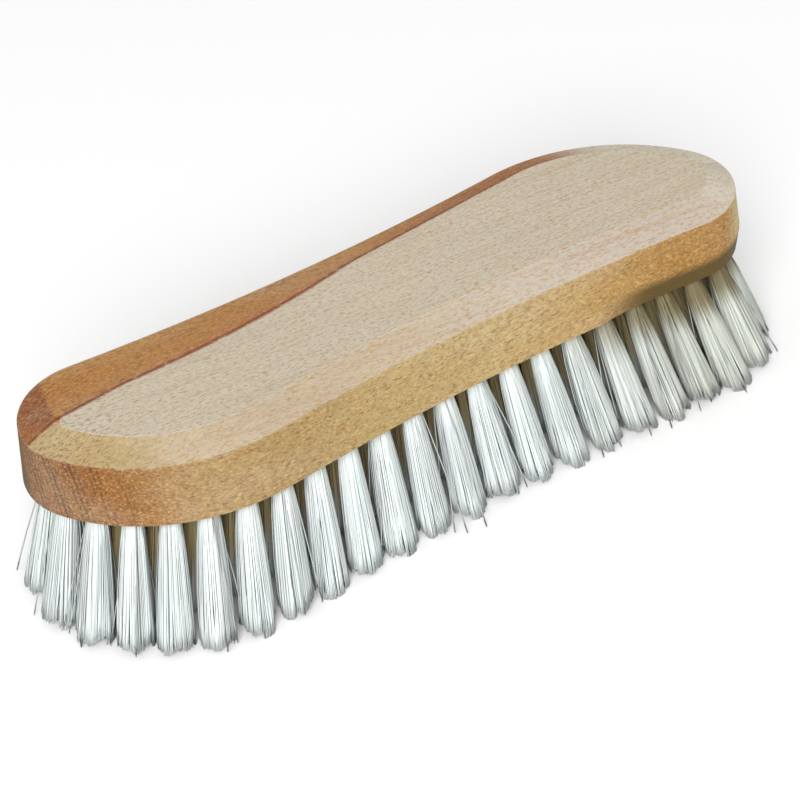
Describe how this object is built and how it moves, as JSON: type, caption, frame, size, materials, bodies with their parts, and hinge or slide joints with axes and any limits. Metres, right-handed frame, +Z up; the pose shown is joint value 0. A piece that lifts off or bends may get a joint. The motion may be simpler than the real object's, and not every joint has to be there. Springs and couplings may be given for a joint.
{
  "type": "scrub brush",
  "caption": "S-shaped wooden scrub brush block with a bevelled top, one long facet and splayed tufts of stiff pale bristle set in its underside, for scrubbing by hand.",
  "frame": {"origin": "level of the trimmed bristle tips, under the middle of the block", "axes": "+X along the block's length, towards the end without the wide facet; +Z up, from the bristle tips to the flat top; +Y towards the back, the side of the long facet"},
  "size_m": [0.219, 0.0818, 0.0595],
  "materials": {
    "wood": "matte, worn and unvarnished",
    "bristle": "matte natural fibre",
    "anchor_wire": "satin drawn wire"
  },
  "bodies": {
    "root": {"block": "wood", "tuft_row_01": "bristle", "tuft_row_02": "bristle", "tuft_row_03": "bristle", "tuft_row_04": "bristle", "tuft_row_05": "bristle", "tuft_row_06": "bristle", "tuft_row_07": "bristle", "tuft_row_08": "bristle", "tuft_row_09": "bristle", "tuft_row_10": "bristle", "tuft_row_11": "bristle", "tuft_row_12": "bristle", "tuft_row_13": "bristle", "tuft_row_14": "bristle", "tuft_row_15": "bristle", "tuft_row_16": "bristle", "tuft_row_17": "bristle", "tuft_row_18": "bristle", "tuft_row_19": "bristle", "tuft_row_20": "bristle", "tuft_row_21": "bristle", "tuft_row_22": "bristle", "anchor_row_01": "anchor_wire", "anchor_row_02": "anchor_wire", "anchor_row_03": "anchor_wire", "anchor_row_04": "anchor_wire", "anchor_row_05": "anchor_wire", "anchor_row_06": "anchor_wire", "anchor_row_07": "anchor_wire", "anchor_row_08": "anchor_wire", "anchor_row_09": "anchor_wire", "anchor_row_10": "anchor_wire", "anchor_row_11": "anchor_wire", "anchor_row_12": "anchor_wire", "anchor_row_13": "anchor_wire", "anchor_row_14": "anchor_wire", "anchor_row_15": "anchor_wire", "anchor_row_16": "anchor_wire", "anchor_row_17": "anchor_wire", "anchor_row_18": "anchor_wire", "anchor_row_19": "anchor_wire", "anchor_row_20": "anchor_wire", "anchor_row_21": "anchor_wire", "anchor_row_22": "anchor_wire"}
  },
  "joints": []
}
